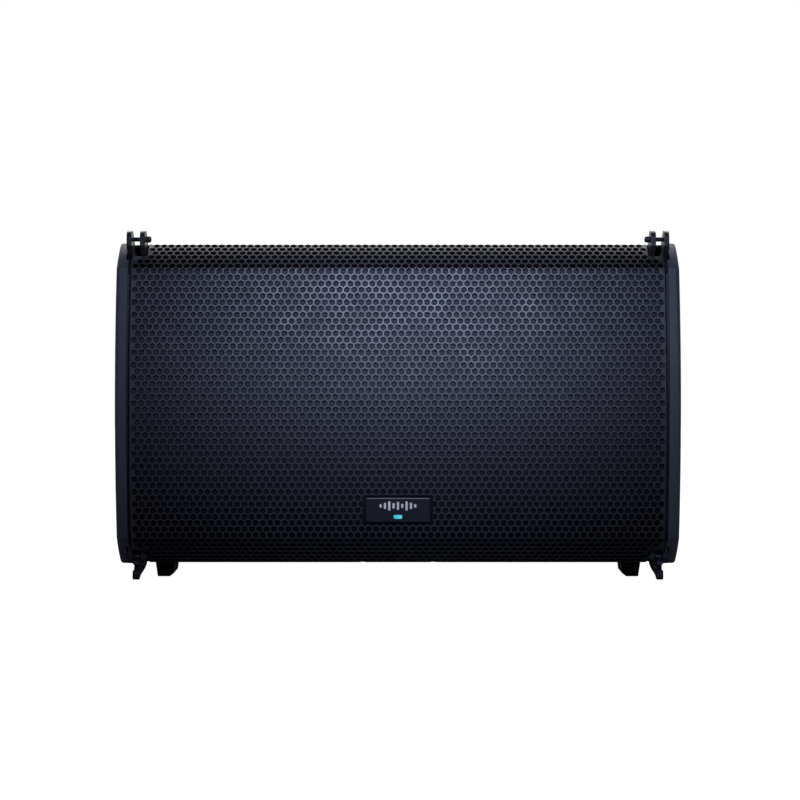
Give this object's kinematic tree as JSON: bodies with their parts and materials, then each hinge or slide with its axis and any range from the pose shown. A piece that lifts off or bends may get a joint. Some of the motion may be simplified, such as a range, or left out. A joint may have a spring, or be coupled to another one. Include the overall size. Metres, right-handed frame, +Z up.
{
  "type": "line array speaker",
  "caption": "Wide powered loudspeaker cabinet with a bowed perforated grille, moulded end caps, front pin-and-hook rigging and a rear splay arm.",
  "frame": {"origin": "centre of the footprint on the plane that the feet stand on", "axes": "-Y out of the grille, +X to the right seen from the front, +Z up"},
  "size_m": [0.68, 0.42, 0.426],
  "materials": {
    "cabinet_paint": "fine textured black coating over plywood",
    "bare_ply": "bare birch plywood",
    "wadding": "soft grey wadding",
    "grille_paint": "satin powder coat on perforated steel",
    "foam": "open-cell acoustic foam",
    "badge": "satin moulded plate with a raised mark",
    "led": "translucent lens, lit from behind",
    "circuit_board": "green solder mask",
    "cap_plastic": "fine textured moulded shell",
    "black_plastic": "textured moulding",
    "rigging_steel": "black powder coat",
    "zinc": "zinc plated",
    "pin_steel": "dark plated steel",
    "foot_rubber": "matt moulded rubber",
    "red_plastic": "moulded button",
    "panel_aluminium": "black anodised",
    "socket_blue": "moulded",
    "socket_grey": "moulded",
    "knob_plastic": "soft touch",
    "display": "dark window",
    "driver_metal": "cast, black painted",
    "ferrite": "ferrite and plated steel",
    "copper": "wound wire",
    "cone_paper": "coated pulp",
    "surround_rubber": "rubber roll",
    "spider_cloth": "resin-treated cloth",
    "titanium": "thin formed metal",
    "cable": "flexible sheath",
    "screw_black": "black oxide"
  },
  "bodies": {
    "cabinet": {"enclosure_shell": "cabinet_paint", "front_baffle": "cabinet_paint", "port_duct": "black_plastic", "internal_brace": "bare_ply", "damping_lining": "wadding", "grille": "grille_paint", "grille_foam": "foam", "badge_plate": "badge", "badge_lens": "led", "led_board": "circuit_board", "end_cap_left": "cap_plastic", "end_cap_right": "cap_plastic", "handle_cup_left": "black_plastic", "handle_cup_right": "black_plastic", "rigging_plate_outer_left": "rigging_steel", "rigging_plate_outer_right": "rigging_steel", "rigging_plate_inner_left": "rigging_steel", "rigging_plate_inner_right": "rigging_steel", "rigging_bolts": "zinc", "fork_pins": "pin_steel", "hook_pivot_pins": "pin_steel", "hook_spring_left": "zinc", "hook_spring_right": "zinc", "front_feet": "foot_rubber", "rear_feet": "foot_rubber", "rear_bracket_upper": "rigging_steel", "rear_bracket_lower": "rigging_steel", "link_pivot_pin": "pin_steel", "amp_panel": "panel_aluminium", "heat_sink": "panel_aluminium", "amp_board": "circuit_board", "power_supply": "zinc", "mains_inlet": "socket_blue", "mains_outlet": "socket_grey", "signal_input_socket": "black_plastic", "signal_thru_socket": "black_plastic", "display_window": "display", "woofer_frame": "driver_metal", "woofer_magnet": "ferrite", "woofer_surround": "surround_rubber", "woofer_spider": "spider_cloth", "horn_waveguide": "black_plastic", "compression_driver": "ferrite", "speaker_leads": "cable", "case_screws": "screw_black"},
    "hook_l": {"hook_left": "rigging_steel"},
    "hook_r": {"hook_right": "rigging_steel"},
    "link_arm": {"rear_link_arm": "rigging_steel"},
    "release_pin": {"quick_release_pin": "pin_steel"},
    "release_button": {"pin_button": "red_plastic"},
    "input_tab": {"input_latch_tab": "zinc"},
    "thru_tab": {"thru_latch_tab": "zinc"},
    "encoder_stem": {"encoder_shaft": "zinc"},
    "encoder": {"encoder_knob": "knob_plastic"},
    "menu_key": {"menu_button": "knob_plastic"},
    "rocker": {"power_rocker": "knob_plastic"},
    "woofer_moving": {"woofer_cone": "cone_paper", "woofer_voice_coil": "copper"},
    "hf_moving": {"hf_diaphragm": "titanium"}
  },
  "joints": [
    {"name": "hook_left_pivot", "type": "hinge", "parent": "cabinet", "child": "hook_l", "pos_m": [-0.3181, -0.166, 0.028], "axis": [1, 0, 0], "range_deg": [0, 24], "stiffness_Nm_per_rad": 0.6, "springref_deg": -20.05, "deforming": ["hook_spring_left"]},
    {"name": "hook_right_pivot", "type": "hinge", "parent": "cabinet", "child": "hook_r", "pos_m": [0.3181, -0.166, 0.028], "axis": [1, 0, 0], "range_deg": [0, 24], "stiffness_Nm_per_rad": 0.6, "springref_deg": -20.05, "deforming": ["hook_spring_right"]},
    {"name": "rear_link_swing", "type": "hinge", "parent": "cabinet", "child": "link_arm", "pos_m": [0, 0.2, 0.362], "axis": [1, 0, 0], "range_deg": [0, 170]},
    {"name": "release_pin_slide", "type": "slide", "parent": "cabinet", "child": "release_pin", "axis": [1, 0, 0], "range_m": [0, 0.05]},
    {"name": "release_button_press", "type": "slide", "parent": "release_pin", "child": "release_button", "axis": [-1, 0, 0], "range_m": [0, 0.003], "stiffness_N_per_m": 300, "springref_m": -0.002},
    {"name": "input_tab_press", "type": "slide", "parent": "cabinet", "child": "input_tab", "axis": [0, -1, 0], "range_m": [0, 0.0015], "stiffness_N_per_m": 400, "springref_m": -0.001},
    {"name": "thru_tab_press", "type": "slide", "parent": "cabinet", "child": "thru_tab", "axis": [0, -1, 0], "range_m": [0, 0.0015], "stiffness_N_per_m": 400, "springref_m": -0.001},
    {"name": "encoder_press", "type": "slide", "parent": "cabinet", "child": "encoder_stem", "axis": [0, -1, 0], "range_m": [0, 0.0005], "stiffness_N_per_m": 800, "springref_m": -0.001},
    {"name": "encoder_turn", "type": "hinge", "parent": "encoder_stem", "child": "encoder", "pos_m": [0.038, 0.2, 0.205], "axis": [0, -1, 0], "continuous": true},
    {"name": "menu_button_press", "type": "slide", "parent": "cabinet", "child": "menu_key", "axis": [0, -1, 0], "range_m": [0, 0.0008], "stiffness_N_per_m": 500, "springref_m": -0.001},
    {"name": "power_rocker_tilt", "type": "hinge", "parent": "cabinet", "child": "rocker", "pos_m": [0.038, 0.1915, 0.122], "axis": [1, 0, 0], "range_deg": [0, 14]},
    {"name": "woofer_cone_travel", "type": "slide", "parent": "cabinet", "child": "woofer_moving", "axis": [0, -1, 0], "range_m": [-0.006, 0.006], "stiffness_N_per_m": 2500, "deforming": ["woofer_surround", "woofer_spider"]},
    {"name": "hf_diaphragm_travel", "type": "slide", "parent": "cabinet", "child": "hf_moving", "axis": [0, -1, 0], "range_m": [-0.0003, 0.0003], "stiffness_N_per_m": 4000}
  ]
}
